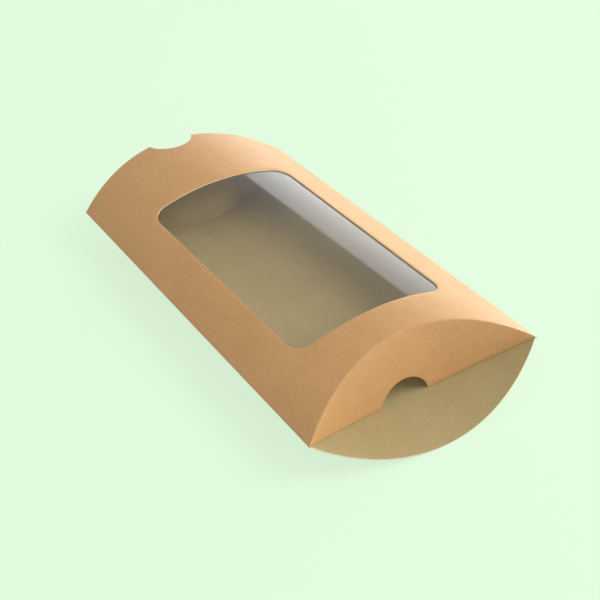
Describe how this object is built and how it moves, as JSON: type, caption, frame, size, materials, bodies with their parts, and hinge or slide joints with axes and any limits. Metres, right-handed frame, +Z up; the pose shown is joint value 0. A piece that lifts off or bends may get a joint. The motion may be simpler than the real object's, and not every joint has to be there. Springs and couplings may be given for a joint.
{
  "type": "pillow box",
  "caption": "Kraft board pillow box with a clear film window in its arched front and curved end flaps with thumb notches.",
  "frame": {"origin": "on the resting surface, under the middle of the belly line of the back panel", "axes": "+Z up through the window, +Y along the sleeve to the end whose front flap is open, +X across and away from the glued side seam"},
  "size_m": [0.1, 0.2012, 0.0298],
  "materials": {
    "kraft_board": "matte",
    "clear_film": "gloss",
    "glue": "satin"
  },
  "bodies": {
    "sleeve": {"front_panel": "kraft_board", "back_panel": "kraft_board", "glue_flap": "kraft_board", "window_film": "clear_film", "film_glue": "glue", "seam_glue": "glue"},
    "near_front": {"near_front_flap": "kraft_board"},
    "near_back": {"near_back_flap": "kraft_board"},
    "far_front": {"far_front_flap": "kraft_board"},
    "far_back": {"far_back_flap": "kraft_board"}
  },
  "joints": [
    {"name": "near_front_crease", "type": "hinge", "parent": "sleeve", "child": "near_front", "pos_m": [0, -0.0716, 0.0298], "axis": [-1, 0, 0], "range_deg": [0, 84]},
    {"name": "near_back_crease", "type": "hinge", "parent": "sleeve", "child": "near_back", "pos_m": [0, -0.0716, 0], "axis": [1, 0, 0], "range_deg": [-84, 0], "deforming": ["near_back_flap"]},
    {"name": "far_front_crease", "type": "hinge", "parent": "sleeve", "child": "far_front", "pos_m": [0, 0.0716, 0.0298], "axis": [1, 0, 0], "range_deg": [-84, 0], "deforming": ["far_front_flap"]},
    {"name": "far_back_crease", "type": "hinge", "parent": "sleeve", "child": "far_back", "pos_m": [0, 0.0716, 0], "axis": [-1, 0, 0], "range_deg": [0, 84]}
  ]
}
